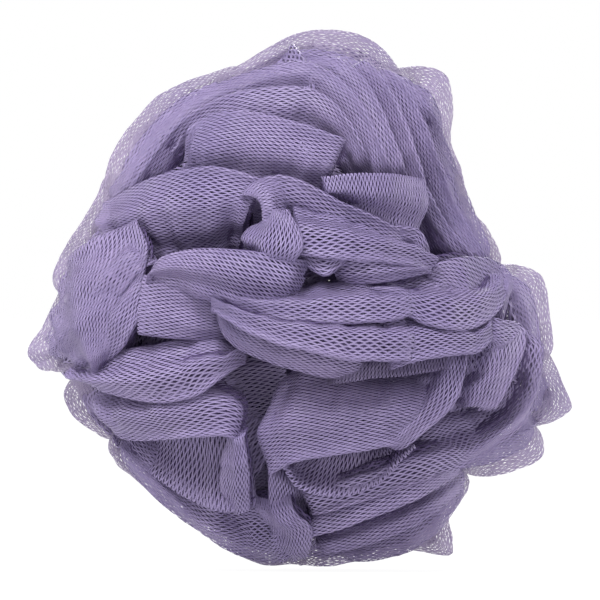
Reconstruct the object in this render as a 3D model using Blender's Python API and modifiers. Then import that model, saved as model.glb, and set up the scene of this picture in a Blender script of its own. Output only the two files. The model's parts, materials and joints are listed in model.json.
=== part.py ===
"""A mesh bath sponge: one long tube of soft netting, gathered into a ball on a cord tied round its middle.

The ball stands on the plane z = 0 with its middle over the origin. Its front faces -Y, with +X to the right.
The netting is one folded solid. Each fold is lofted along its crest, the rounded edge where the netting turns
back on itself, down to its foot, where it goes in under its neighbours. The folds of the front are laid out
one by one. The sides, the back, the top and the underside are ruffles, spread evenly round the ball.
"""

import math
import random

import bmesh
import bpy
import numpy as np
from mathutils import Matrix, Vector

MM = 0.001

# The ball, in metres.
BALL_WIDTH = 0.1365
BALL_HEIGHT = 0.1350
BALL_DEPTH = 0.1220
MIDDLE_HEIGHT = 0.0670  # of the ball's middle, over what it stands on

# The netting.
FOLD_EDGE = 0.0034  # thickness at a crest, where two layers meet round an edge
FOLD_ROOT = 0.0060  # thickness at a foot, where several layers lie together
BUNCH = 0.68  # the packed middle of the netting, as a share of the ball
DOME = 0.80  # how far out the round form under the folds' lifts comes, as a share of half the depth
LIFT_LEVEL = 3.0
LIFT_SCALE = 1.3
LOW_BUNCH = (0.027, 0.026, 0.0175)  # half its size each way, of the netting that the ball rests on
LOW_BUNCH_HEIGHT = 0.0158
ROOT_REACH = 0.70  # how far out the folds' roots lie in the packed middle, as a share of the way to a foot
STATION = 0.0060  # length of crest between two sections of a fold
SKIN_GRAIN = 0.0010  # the finest form that the skin over all the folds keeps
SKIN_SOFTENING = 4
SKIN_TRIANGLES = 11000

# The tie at the middle, and the opening at the back where the gathers part round it.
TIE_CORD = 0.0024
NECK_RADIUS = 0.0070
TIE_GAP = 0.0003
POCKET_ROOM = 0.0022
THROAT_INNER = 0.0042
THROAT_OUTER = 0.0110

NETTING_COLOUR = (0.300, 0.245, 0.420, 1.0)
TIE_COLOUR = (0.560, 0.500, 0.680, 1.0)

# The outline seen from the front: millimetres from the middle every 15 degrees, from +X up and round.
OUTLINE = (61, 52, 49, 54, 65, 67, 67.5, 64, 62, 62, 59, 60, 63, 66, 65, 62, 62, 65, 67, 66, 67, 63, 68, 66)

# Folds of the front, back ones first. A point is (across, height, lift): millimetres to the right of the
# middle, over the floor, and out from the ball's round form. The first list is the crest, the second the foot.
OUTER_FOLDS = {
    "outer_top_left": (
        [(-49.5, 94, 0), (-46.5, 105, 0), (-37.5, 117, 0), (-30.5, 121.5, 0), (-16, 126, 0)],
        [(-43.5, 93, 1), (-39, 103, 1), (-31, 112, 1), (-25, 117, 1), (-15, 121, 1)], 2),
    "outer_top": (
        [(-22, 122, 0), (-7.5, 130.5, 0), (1, 134.5, 0), (10, 135, 0), (19, 132, 0), (25, 124.5, 0)],
        [(-16, 120, 1), (-6, 125, 1), (2.5, 126, 1), (9, 124, 1), (15, 120, 1), (23, 116, 1)], 2),
    "outer_top_right": (
        [(23.5, 125, 0), (31, 126, 0), (37, 123.5, 0), (38.5, 116, 0), (38, 107, 0), (41, 99, 0)],
        [(23.5, 118, 1), (28, 117, 1), (30.5, 114, 1), (33, 109.5, 1), (35, 103, 1), (37.5, 97, 1)], 1),
    "outer_right_shoulder": (
        [(40.5, 100, 0), (43, 90, 0), (47.5, 85, 0), (51, 77, 0)],
        [(36, 97, 1), (38.5, 90, 1), (42, 83.5, 1), (45.5, 77, 1)], 1),
    "outer_right": (
        [(50, 76, 0), (55.5, 76, 0), (61, 73, 0), (62.5, 65, 0), (63.5, 55, 0)],
        [(48.5, 72, 1), (52, 71, 1), (55, 67, 1), (57, 61, 1), (57.5, 53, 1)], 1),
    "outer_far_right": (
        [(62.5, 53.5, 0), (65.5, 47.5, 0), (68.2, 41, 0), (66.5, 38.5, 0), (62, 35.5, 0)],
        [(57.5, 51, 1), (58.5, 46, 1), (59.5, 42, 1), (57.5, 39, 1), (55, 36, 1)], 1),
    "outer_low_right": (
        [(61.5, 33, 0), (60.5, 27.5, 0), (53.5, 24, 0), (48, 23, 0), (41.5, 24, 0)],
        [(57.5, 36, 1), (53.5, 33, 1), (48.5, 30, 1), (44.5, 28.5, 1), (40.5, 27, 1)], 1),
    "outer_bottom_right": (
        [(41.5, 25, 0), (42.5, 20, 0), (37.5, 13.5, 0), (38.5, 7, 0), (37, 3.2, 0), (25.5, 5, 0)],
        [(36, 22, 1), (35, 17, 1), (32, 13, 1), (31, 9.5, 1), (29, 8, 1), (24, 7.5, 1)], 1),
    "outer_bottom": (
        [(26, 3.2, 0), (14.5, 1.8, 0), (7, 0.2, 0), (0, 1, 0), (-7, 0.6, 0)],
        [(25, 8, 1), (15, 6, 1), (7, 5.5, 1), (0, 5.5, 1), (-5, 6, 1)], 1),
    "outer_low_left": (
        [(-48, 29, 0), (-43.5, 23, 0), (-30, 12.5, 0), (-21, 6, 0), (-12.5, 1, 0), (-3.5, 0.5, 0)],
        [(-43.5, 30, 2), (-37, 25, 2), (-29, 19, 2), (-20, 15.5, 2), (-11, 12.5, 2), (-6, 9, 2)], 4),
    "outer_small_left": (
        [(-56, 48.5, 0), (-59, 43.5, 0), (-57, 38.5, 0), (-52, 34.5, 0), (-48, 32, 0)],
        [(-50, 48, 1), (-50.5, 43.5, 1), (-49, 40, 1), (-47, 37, 1), (-45, 34.5, 1)], 1),
    "outer_left_tip": (
        [(-60, 70, 0), (-64, 62, 0), (-68.2, 55, 0), (-66, 51, 0), (-58, 50.5, 0)],
        [(-55, 67, 2), (-57, 61, 2), (-58, 56, 2), (-57, 54, 2), (-54, 52.5, 2)], 1),
    "outer_left": (
        [(-49, 98.5, 0), (-51.5, 92, 0), (-56, 85, 0), (-60, 79, 0), (-62.7, 72, 0)],
        [(-40, 92, 2), (-43.5, 87, 2), (-48.5, 81, 2), (-54, 75, 2), (-59, 70, 2)], 3),
}

FRONT_FOLDS = {
    "fan_5": (
        [(25, 123.5, 3), (32, 113.5, 3), (37.5, 103.5, 3), (41.5, 93.5, 3), (47.5, 78, 3)],
        [(21, 118.5, -3), (27, 110, -3), (31.5, 101, -3), (34.5, 92, -3), (42, 78, -3)], 2),
    "fan_4": (
        [(18, 128, 4), (24.5, 121, 4), (29, 112.5, 4), (33, 104.5, 4), (35, 97, 4)],
        [(12, 124, -2), (18.5, 117, -2), (23, 110, -2), (26, 102, -2), (28.5, 96, -2)], 2),
    "fan_3": (
        [(6, 129.5, 5), (16, 123.5, 5), (21.5, 117, 5), (24.5, 110, 5), (27, 98.5, 5)],
        [(6, 122, -1), (13, 117, -1), (18, 111, -1), (21, 104, -1), (22, 97, -1)], 2),
    "over_the_top": (
        [(-36.5, 107, 3), (-26, 116.5, 5), (-12, 124.5, 5), (1.5, 127, 5), (14, 120, 6), (22.5, 107, 6), (27.5, 98, 5)],
        [(-37, 98, 0), (-26, 110.5, 0), (-12, 119, 0), (0, 120.5, 0), (9, 114, 0), (15, 105, 0), (19, 97, 0)], 2),
    "second_over": (
        [(-32.5, 108, 6), (-21, 117, 8), (-8.5, 120.5, 8), (2.5, 119, 8), (11.5, 110, 8), (17.5, 101, 7)],
        [(-30, 101, 1), (-22, 110.5, 1), (-10, 114, 1), (0, 112.5, 1), (7.5, 106.5, 1), (13, 99, 1)], 2),
    "shoulder_fold": (
        [(31.5, 93.5, 6), (35.5, 87, 6), (39.5, 81.5, 6), (44, 76.5, 6)],
        [(28, 92, 0), (32, 85, 0), (35.5, 80, 0), (39, 76, 0)], 1),
    "brow_hollow": (
        [(9, 107, 1), (15, 104.5, 1), (20, 101, 1), (25, 98, 1)],
        [(4, 98, -3), (9, 96, -3), (13, 95, -3), (18, 94, -3)], 0),
    "brow_flap": (
        [(-25.5, 111, 10), (-15, 114, 10), (0, 111.5, 10), (11, 106.5, 10)],
        [(-30.5, 99, 1), (-21, 98.5, 1), (-9.5, 97, 1), (5, 93, 1)], 2),
    "big_petal": (
        [(-50, 91, 2), (-37.5, 97.2, 6), (-25, 99.8, 10), (-17.5, 99.2, 11), (-9.5, 96, 10)],
        [(-47, 81, -4), (-37.5, 82, -4), (-28, 79, -4), (-20, 78, -4), (-14, 80, -2)], 6),
    "right_limb": (
        [(-9.5, 96.7, 10), (-2.5, 97.2, 10), (10, 91, 10), (20, 86.7, 9), (26.5, 83.5, 8)],
        [(-9, 90, 4), (-2.5, 88, 3), (7.5, 84, 3), (18.5, 80, 3), (25, 78, 3)], 2),
    "band": (
        [(6, 97, 11), (15, 98, 12), (23.5, 98, 12), (31.2, 97, 10)],
        [(11, 91.5, 6), (17, 89.5, 7), (23, 87, 8), (29.8, 85.5, 8)], 3),
    "small_scroll": (
        [(26, 84.8, 9), (29.5, 84.3, 9), (31.5, 81, 8)],
        [(24.5, 81, 4), (27, 79.5, 4), (29, 77.5, 4)], 1),
    "deep_hollow": (
        [(14, 69, 1), (5, 67, 1), (-3.5, 66, 1)],
        [(12, 76, -5), (4.5, 77, -5), (-2, 78, -5)], -2),
    "tongue": (
        [(0.5, 78.5, 13), (10, 77.5, 14), (20, 76.8, 13), (28.5, 75.8, 11), (32.5, 74.2, 9)],
        [(-1, 88.5, 3), (9, 86.5, 3), (19, 83, 3), (26.5, 80, 3), (31.5, 77, 3)], 3),
    "tongue_underside": (
        [(13, 70.8, 9), (19, 71.2, 10), (25, 72.2, 10), (32.5, 74, 9)],
        [(11, 75.5, 11), (17.5, 76.5, 12), (24.5, 76, 11), (31.5, 75.2, 9)], 1),
    "corner_fold": (
        [(0, 78, 10), (2.5, 75.2, 11), (6.2, 73.2, 12), (9, 75.2, 12), (11.5, 77.8, 12)],
        [(0.8, 80, 8), (3.8, 79.7, 9), (6.2, 79.5, 9), (8.8, 79.2, 10), (10.5, 79, 10)], 1),
    "curl": (
        [(-3, 89, 15), (-0.2, 85, 16), (0.5, 81, 16), (-1, 76.8, 14)],
        [(-12.5, 85.8, 10), (-15, 82.8, 9), (-14.2, 79, 9), (-10.5, 77, 10)], 3),
    "left_face": (
        [(-41, 87.5, 6), (-38, 80, 7), (-39.2, 72, 7), (-40.2, 62, 6), (-37.5, 53.5, 4)],
        [(-58, 71, 1), (-61, 63.5, 1), (-59, 56, 1), (-53.5, 50.5, 0), (-40, 50, -2)], 6),
    "left_valley": (
        [(-37, 86, 0), (-31, 83, -1), (-26, 80, -1)],
        [(-39, 74, -4), (-35, 76, -4), (-29, 76, -4)], -2),
    "square_flap": (
        [(-38.8, 73.2, 9), (-39.8, 66, 9), (-40, 59, 8)],
        [(-23.5, 68.5, 6), (-21.8, 63.5, 5), (-20.5, 57.8, 3)], 2),
    "pale_flap": (
        [(-37.5, 73.8, 9), (-33.8, 78, 11), (-25, 79.8, 13), (-12.5, 79.2, 14), (-0.5, 77.2, 13)],
        [(-37.5, 73.2, 8), (-30, 72.4, 10), (-18.8, 69, 12), (-12, 67.2, 12), (-4.2, 67.2, 11)], 2),
    "cone": (
        [(32, 73.5, 6), (35, 76.8, 6), (42.5, 78.2, 6), (50, 76.8, 4), (53.5, 72.2, 3)],
        [(34, 67, 4), (38, 64.5, 4), (42.5, 62, 4), (47, 63.5, 3), (51, 67, 2)], 1),
    "long_flap": (
        [(22, 66, 11), (31, 61.8, 12), (38.8, 60.2, 12), (45, 61.5, 10), (50, 65.2, 8), (53, 71.2, 5)],
        [(21, 70, 4), (28.8, 71, 4), (36, 70.5, 4), (41.2, 70, 4), (45.5, 71.2, 3), (48.8, 74.5, 2)], 3),
    "central_roll": (
        [(-21, 66.2, 11), (-12.5, 64, 13), (-2.5, 62.2, 14), (10, 62, 14), (21, 62.5, 13), (28, 64, 12)],
        [(-20, 67.5, 7), (-11.2, 67.5, 6), (-1.2, 68.5, 5), (10, 70, 5), (20, 70, 5), (26.2, 69, 5)], 2),
    "central_petal": (
        [(-20.8, 64.8, 13), (-15, 61, 15), (-6.2, 57.2, 17), (2.5, 55.2, 18), (12.5, 53, 17), (27.5, 52.6, 14)],
        [(-20.8, 65.8, 11), (-13.8, 64.2, 10), (-5, 62.5, 9), (3.8, 62.2, 9), (12.5, 62.2, 9), (26, 61.8, 9)], 3),
    "central_right": (
        [(27, 52.2, 14), (35, 53.8, 13), (43.8, 54.8, 11), (48, 58.5, 9)],
        [(25.5, 62.2, 8), (32.5, 62, 7), (41.2, 60.5, 6), (46.2, 61.8, 5)], 2),
    "under_leaf": (
        [(-21, 64.2, 9), (-19, 58.5, 9), (-13.8, 54.2, 9), (-5, 50.8, 9), (5, 48.2, 8), (13, 47.5, 6)],
        [(-19.5, 63.8, 11), (-13.8, 60.2, 11), (-6.2, 57, 11), (1.2, 55.5, 11), (8.8, 54, 10), (15, 52.2, 8)], 1),
    "leaf": (
        [(-54.5, 47.2, 4), (-47.5, 44, 7), (-36, 42, 10), (-27.5, 43.2, 11), (-22, 46.2, 11), (-16.5, 50.5, 8)],
        [(-56, 50.2, 3), (-47.5, 50.8, 5), (-38, 52.5, 6), (-28, 54.2, 6), (-20, 54.5, 6), (-15.5, 52.5, 5)], 4),
    "pouch_lip": (
        [(-48.8, 34.8, 5), (-43.8, 32.2, 7), (-33.8, 32.8, 10), (-25, 33.8, 12), (-17.5, 34, 12), (-14, 31.8, 10)],
        [(-51, 46, 0), (-43.8, 45, 1), (-35, 45, 2), (-27.5, 47, 2), (-22, 48, 2), (-19.5, 46.5, 3)], 4),
    "pouch": (
        [(-48.8, 32.2, 5), (-42.5, 28.5, 6), (-33.8, 22.2, 8), (-26.2, 17.5, 9), (-21.2, 15.2, 9), (-15.5, 14.8, 9)],
        [(-46, 34, -3), (-38.8, 33.5, -3), (-31.2, 33.5, -2), (-25, 33.5, -2), (-20, 33.5, -2), (-17, 32, 0)], -3),
    "pouch_side": (
        [(-14.2, 33, 12), (-13, 26, 12), (-12.8, 19.8, 11), (-12.5, 15, 9)],
        [(-16.5, 32.5, 9), (-17.5, 26, 8), (-17.8, 20.2, 8), (-17, 15, 7)], 1),
    "valley": (
        [(-7.5, 52.2, 3), (-8, 39.8, 1), (-7.5, 27.2, 1), (-7, 12.2, 0)],
        [(-22, 50, -3), (-15.5, 39.8, -4), (-13.5, 27.2, -4), (-13, 13.5, -2)], -2),
    "dark_band": (
        [(9, 47, 4), (20, 48.8, 5), (29, 49.8, 5), (38.8, 51.5, 5)],
        [(12.5, 52.5, 2), (21.2, 53, 2), (28.8, 53.5, 2), (37.5, 54.5, 2)], 1),
    "lower_face": (
        [(-8, 24.2, 9), (-2.5, 27.2, 11), (7.5, 29.2, 12), (17.5, 30.8, 13), (26.2, 32.2, 12)],
        [(-7, 44, 2), (0, 47.5, 3), (7.5, 48.5, 3), (18.8, 49, 2), (32.5, 50, 2)], 4),
    "lower_pouch": (
        [(-4.2, 27.8, 9), (-0.5, 21.8, 10), (5, 19.5, 11), (12.5, 19.5, 11), (19.5, 22.8, 10), (25.5, 30.2, 9)],
        [(-2, 28, -1), (3, 29.5, -1), (8, 30.2, -1), (13, 31, -1), (18.8, 31.5, -1), (23.8, 32.5, 0)], -2),
    "lower_cone": (
        [(41, 53.2, 9), (39, 44.2, 11), (35.8, 39.8, 12), (30, 34.5, 13), (26, 30.8, 12)],
        [(34.5, 52, 4), (31, 46.5, 5), (27.5, 42, 6), (24, 37.5, 8), (21, 34, 9)], 2),
    "right_leaf": (
        [(49, 62, 9), (55.5, 60.8, 8), (55.2, 54.2, 9), (51.5, 46, 10), (48.5, 40.8, 10)],
        [(43.5, 58.5, 4), (42.5, 53.5, 4), (40.5, 47.8, 4), (38, 43.5, 4), (37.5, 40.2, 4)], 4),
    "right_sweep": (
        [(61, 56, 3), (60, 46, 5), (56, 37, 6), (50, 31.8, 7), (41, 25.8, 8), (31, 23.6, 9), (20, 20.5, 9), (9, 18, 7)],
        [(55, 56, 0), (53.5, 47, 0), (50, 40, 0), (45, 36.5, 0), (37.5, 35, 1), (30, 33.5, 1), (22, 29.5, 1), (12, 23, 1)],
        4),
    "low_fold_1": (
        [(1.5, 12.2, 6), (9, 15.8, 7), (19, 19, 7), (30, 21.5, 6), (39, 25, 4)],
        [(4, 5, -2), (12.5, 8.5, -1), (22.5, 12.5, -1), (31.2, 16.8, -1), (39.5, 22, -1)], 2),
    "low_fold_2": (
        [(6, 4.5, 3), (16, 8.8, 4), (26, 14.2, 4), (35, 19.8, 3), (42, 23.5, 2)],
        [(12.5, 1.8, -1), (21, 6, -2), (29, 10, -2), (36, 15, -2), (41, 19.5, -1)], 1),
    "low_upright": (
        [(-7.5, 25, 7), (-7.5, 17.2, 6), (-6, 9.8, 4), (-3, 4.2, 2)],
        [(1, 20, 2), (0.8, 14.8, 2), (2, 8.5, 1), (4, 4.8, 0)], 1),
}

# The other sides are ruffles: folds that rise out of the ball along a wavy crest and go in again at its ends.
RUFFLES = 70  # places spread evenly over the whole ball, of which the front's own folds take some
RUFFLE_SEED = 11
FRONT_CONE = 60.0  # degrees from the front that its own folds fill
RUFFLE_SPAN = (52.0, 84.0)  # degrees of the ball along a crest
RUFFLE_REACH = (17.0, 27.0)  # degrees from a crest to its foot
RUFFLE_WAVE = 7.0  # degrees that a crest swings to either side
RUFFLE_BASE = 0.76  # where the feet lie, as a share of the ball
RUFFLE_RISE = 0.23  # how far the crests rise over them, as a share of the ball
LOW_RISE = 0.05  # how much further the lowest ones would come if the floor didn't press them flat


def outline_radius(angle):
    """Millimetres from the middle to the outline, at an angle in radians from +X up and round."""
    place = np.mod(np.degrees(angle), 360.0) / 360.0 * len(OUTLINE)
    low = np.floor(place).astype(int) % len(OUTLINE)
    blend = 0.5 - 0.5 * np.cos(np.pi * (place - np.floor(place)))
    radii = np.array(OUTLINE, float)
    return radii[low] * (1 - blend) + radii[(low + 1) % len(OUTLINE)] * blend


def on_ball(points):
    """(across, height, lift) points of the front, as places round the ball's middle in millimetres."""
    points = np.array(points, float)
    across, up = points[:, 0], points[:, 1] - MIDDLE_HEIGHT / MM
    share = np.hypot(across, up) / outline_radius(np.arctan2(up, across))
    lift = LIFT_LEVEL + (points[:, 2] - LIFT_LEVEL) * LIFT_SCALE
    out = BALL_DEPTH / MM / 2 * DOME * np.sqrt(np.clip(1 - share**2, 0, 1)) + lift
    return np.stack([across, -out, up], axis=1)


def ball_radius(way):
    """Millimetres from the middle to the ball's round form, in the direction of a unit vector."""
    flat = math.hypot(way[0], way[2])
    rim = float(outline_radius(math.atan2(way[2], way[0])))
    return 1 / math.hypot(flat / rim, way[1] / (BALL_DEPTH / MM / 2))


def curve_at(points, shares):
    """Places on a smooth curve through the points, at shares of its length."""
    ends = np.vstack([2 * points[0] - points[1], points, 2 * points[-1] - points[-2]])

    def at(place):
        low = np.clip(np.floor(place).astype(int), 0, len(points) - 2)
        t = (place - low)[:, None]
        a, b, c, d = (ends[low + k] for k in range(4))
        return 0.5 * (2 * b + (c - a) * t + (2 * a - 5 * b + 4 * c - d) * t**2 + (3 * b - a - 3 * c + d) * t**3)

    steps = np.linspace(0, len(points) - 1, 24 * (len(points) - 1) + 1)
    run = at(steps)
    length = np.concatenate([[0], np.cumsum(np.linalg.norm(np.diff(run, axis=0), axis=1))])
    return at(np.interp(np.array(shares) * length[-1], length, steps)), length[-1]


def unit(vectors):
    return vectors / np.maximum(np.linalg.norm(vectors, axis=-1, keepdims=True), 1e-9)


def fold_solid(name, crest, foot, bulge, material, collection):
    """One fold: hairpin sections lofted along the crest, thin and rounded there and thicker at the foot."""
    _, length = curve_at(crest, [0.0, 1.0])
    stations = int(np.clip(round(length * MM / STATION), 3, 16))
    # The first and last sections are thin, which rounds the fold's ends.
    shares = np.concatenate([[0.0], np.linspace(0.04, 0.96, stations), [1.0]])
    top, _ = curve_at(crest, shares)
    low, _ = curve_at(foot, shares)
    along = np.gradient(top, axis=0)
    outward = unit(np.cross(along, low - top))
    if (outward * unit(top + low)).sum() < 0:
        outward = -outward
    ends = np.ones(len(shares))
    ends[[0, -1]] = 0.35
    edge, root = FOLD_EDGE / MM * ends[:, None], FOLD_ROOT / MM * ends[:, None]
    rows = (0.0, 0.35, 0.7, 1.0)
    front = [top + (low - top) * v + outward * (bulge * 4 * v * (1 - v)) for v in rows]
    back = [place - outward * (edge + (root - edge) * v) for place, v in zip(front, rows)]
    # Past its foot the fold runs in to the packed middle.
    front.append(low * ROOT_REACH)
    back.append(back[-1] * ROOT_REACH)
    tip = (front[0] + back[0]) / 2 - unit(low - top) * edge * 0.55
    loop = np.stack([tip, *front, *back[::-1]], axis=1)

    mesh = bmesh.new()
    middle = Vector((0, 0, MIDDLE_HEIGHT))
    rings = [[mesh.verts.new(middle + Vector(point) * MM) for point in ring] for ring in loop]
    around = len(rings[0])
    for ring, following in zip(rings, rings[1:]):
        for k in range(around):
            mesh.faces.new((ring[k], ring[(k + 1) % around], following[(k + 1) % around], following[k]))
    mesh.faces.new(rings[0])
    mesh.faces.new(rings[-1])
    bmesh.ops.triangulate(mesh, faces=mesh.faces)
    bmesh.ops.recalc_face_normals(mesh, faces=mesh.faces)
    data = bpy.data.meshes.new(name)
    mesh.to_mesh(data)
    mesh.free()
    data.materials.append(material)
    fold = bpy.data.objects.new(name, data)
    as_cutter(fold, collection)
    return fold


def as_cutter(obj, collection):
    for other in obj.users_collection:
        other.objects.unlink(obj)
    collection.objects.link(obj)
    obj.hide_render = True
    obj.display_type = "WIRE"


def spread_ways(count):
    """Unit vectors spread evenly over the ball."""
    for k in range(count):
        up = 1 - (2 * k + 1) / count
        round_it = k * math.pi * (3 - math.sqrt(5))
        flat = math.sqrt(1 - up**2)
        yield Vector((flat * math.cos(round_it), flat * math.sin(round_it), up))


def ruffle(way, draw):
    """(crest, foot, bulge) of one fold that looks out this way from the ball."""
    along = way.orthogonal().normalized()
    along.rotate(Matrix.Rotation(draw.uniform(0, 2 * math.pi), 3, way))
    aside = way.cross(along)
    span = math.radians(draw.uniform(*RUFFLE_SPAN)) / 2
    reach = math.radians(draw.uniform(*RUFFLE_REACH))
    phase = draw.uniform(0, 2 * math.pi)
    rise = RUFFLE_RISE * draw.uniform(0.75, 1.0)
    crest, foot = [], []
    for share in (-1.0, -0.6, -0.2, 0.2, 0.6, 1.0):
        wave = math.radians(RUFFLE_WAVE) * math.sin(phase + 2.6 * share)
        for line, shift, height in ((crest, wave, rise * (1.15 - share**2) / 1.15), (foot, wave / 2 + reach, -0.04)):
            to = (way + along * math.tan(span * share) + aside * math.tan(shift)).normalized()
            pressed = LOW_RISE * max(0.0, -to.z) ** 8
            line.append(to * ball_radius(to) * (RUFFLE_BASE + height + pressed))
    return np.array(crest), np.array(foot), draw.uniform(1.0, 4.0)


def all_folds():
    """(name, crest, foot, bulge) of every fold, in millimetres from the ball's middle."""
    for name, (crest, foot, bulge) in {**OUTER_FOLDS, **FRONT_FOLDS}.items():
        yield name, on_ball(crest), on_ball(foot), bulge
    draw = random.Random(RUFFLE_SEED)
    front = Vector((0, -1, 0))
    for number, way in enumerate(spread_ways(RUFFLES)):
        crest, foot, bulge = ruffle(way, draw)
        if math.degrees(way.angle(front)) > FRONT_CONE:
            yield f"ruffle_{number + 1}", crest, foot, bulge


def make_material(name, colour, roughness):
    material = bpy.data.materials.new(name)
    material.use_nodes = True
    shader = material.node_tree.nodes["Principled BSDF"]
    shader.inputs["Base Color"].default_value = colour
    shader.inputs["Roughness"].default_value = roughness
    shader.inputs["Metallic"].default_value = 0.0
    return material


def make_collection(name):
    collection = bpy.data.collections.new(name)
    bpy.context.scene.collection.children.link(collection)
    return collection


def packed_middle(collection, material):
    """The bunched netting under the folds, round like the outline and flatter from front to back."""
    bpy.ops.mesh.primitive_uv_sphere_add(segments=24, ring_count=14, radius=1.0, location=(0, 0, MIDDLE_HEIGHT))
    middle = bpy.context.active_object
    middle.name = "netting"
    for vertex in middle.data.vertices:
        x, y, z = vertex.co
        radius = float(outline_radius(np.arctan2(z, x))) * MM * BUNCH
        vertex.co = Vector((x * radius, y * BALL_DEPTH / 2 * BUNCH, z * radius))
    middle.data.materials.append(material)
    for other in middle.users_collection:
        other.objects.unlink(middle)
    collection.objects.link(middle)
    return middle


def turned_into_mesh(obj):
    """The object with its modifiers worked into its mesh."""
    graph = bpy.context.evaluated_depsgraph_get()
    data = bpy.data.meshes.new_from_object(obj.evaluated_get(graph))
    obj.modifiers.clear()
    obj.data = data


def one_skin(obj, folds):
    """Joins the folds to the packed middle and gives the whole one skin, finest along the crests."""
    mesh = bmesh.new()
    mesh.from_mesh(obj.data)
    for vertex in mesh.verts:
        vertex.co.z += MIDDLE_HEIGHT
    for fold in folds:
        mesh.from_mesh(fold.data)
    low = Matrix.Translation((0, 0, LOW_BUNCH_HEIGHT)) @ Matrix.Diagonal((*LOW_BUNCH, 1))
    bmesh.ops.create_uvsphere(mesh, u_segments=32, v_segments=20, radius=1.0, matrix=low)
    mesh.to_mesh(obj.data)
    mesh.free()
    obj.location.z = 0.0
    skin = obj.modifiers.new("skin", "REMESH")
    skin.mode = "VOXEL"
    skin.voxel_size = SKIN_GRAIN
    soft = obj.modifiers.new("soft", "SMOOTH")
    soft.factor = 0.5
    soft.iterations = SKIN_SOFTENING
    turned_into_mesh(obj)
    fewer = obj.modifiers.new("fewer_faces", "DECIMATE")
    fewer.ratio = SKIN_TRIANGLES / sum(len(face.vertices) - 2 for face in obj.data.polygons)
    fewer.use_collapse_triangulate = True
    turned_into_mesh(obj)
    drop_specks(obj)


def drop_specks(obj):
    """Drops the loose faces, without any room in them, that thinning out the skin can leave."""
    mesh = bmesh.new()
    mesh.from_mesh(obj.data)
    left, specks = set(mesh.verts), []
    while left:
        body, edge = set(), [left.pop()]
        while edge:
            vertex = edge.pop()
            body.add(vertex)
            near = {link.other_vert(vertex) for link in vertex.link_edges} & left
            left -= near
            edge.extend(near)
        if len(body) < 4:
            specks.extend(body)
    bmesh.ops.delete(mesh, geom=specks, context="VERTS")
    mesh.to_mesh(obj.data)
    mesh.free()


def cut(obj, cutter):
    difference = obj.modifiers.new(cutter.name, "BOOLEAN")
    difference.operation = "DIFFERENCE"
    difference.object = cutter
    difference.solver = "EXACT"


def floor_cutter(collection):
    """What lies under the plane that the ball stands on, where its weight presses the lowest folds flat."""
    size = 2 * BALL_WIDTH
    bpy.ops.mesh.primitive_cube_add(size=size, location=(0, 0, -size / 2))
    cutter = bpy.context.active_object
    cutter.name = "floor_cutter"
    as_cutter(cutter, collection)
    return cutter


def throat_cutter(collection):
    """The ring of room round the tied neck, and the opening from it to the back."""
    room = TIE_CORD + POCKET_ROOM
    bpy.ops.mesh.primitive_torus_add(
        major_segments=24, minor_segments=10, major_radius=NECK_RADIUS + room / 2, minor_radius=room / 2,
        location=(0, 0, MIDDLE_HEIGHT))
    ring = bpy.context.active_object
    ring.name = "tie_pocket"
    as_cutter(ring, collection)
    start = NECK_RADIUS
    length = BALL_DEPTH * 0.62 - start
    bpy.ops.mesh.primitive_cone_add(
        vertices=20, radius1=THROAT_INNER, radius2=THROAT_OUTER, depth=length, rotation=(math.radians(-90), 0, 0),
        location=(0, start + length / 2, MIDDLE_HEIGHT))
    throat = bpy.context.active_object
    throat.name = "throat"
    as_cutter(throat, collection)
    return ring, throat


def centre_tie(collection, material):
    """The cord that is drawn tight round the gathered netting."""
    radius = NECK_RADIUS + TIE_GAP + TIE_CORD / 2
    bpy.ops.mesh.primitive_torus_add(
        major_segments=32, minor_segments=8, major_radius=radius, minor_radius=TIE_CORD / 2,
        location=(0, 0, MIDDLE_HEIGHT))
    tie = bpy.context.active_object
    tie.name = "centre_tie"
    for other in tie.users_collection:
        other.objects.unlink(tie)
    collection.objects.link(tie)
    tie.data.materials.append(material)
    tie.data.shade_smooth()
    return tie


def main():
    for obj in list(bpy.data.objects):
        bpy.data.objects.remove(obj, do_unlink=True)
    part = make_collection("mesh_bath_sponge")
    folds = make_collection("folds")
    cutters = make_collection("cutters")
    netting_look = make_material("netting", NETTING_COLOUR, 0.55)
    netting = packed_middle(part, netting_look)
    made = [fold_solid(*fold, netting_look, folds) for fold in all_folds()]
    one_skin(netting, made)
    cut(netting, floor_cutter(cutters))
    for cutter in throat_cutter(cutters):
        cut(netting, cutter)
    turned_into_mesh(netting)
    print("netting triangles", sum(len(face.vertices) - 2 for face in netting.data.polygons))
    centre_tie(part, make_material("tie", TIE_COLOUR, 0.6))


main()
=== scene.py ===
"""The looks of the mesh bath sponge: its netting as real open mesh, fold by fold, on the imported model.

Every fold is a strip of diamond netting. Its face runs from the crest down to the foot, where it goes in
under its neighbours. Over the crest it turns back on itself and runs down behind. Places and lengths are in
millimetres from the ball's middle until a mesh is made, unless a comment says otherwise. The photograph's
pixels are 0.25 mm each.
"""

import json
import math
import random
from typing import NamedTuple

import bpy
import numpy as np
from mathutils import Matrix, Vector

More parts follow.
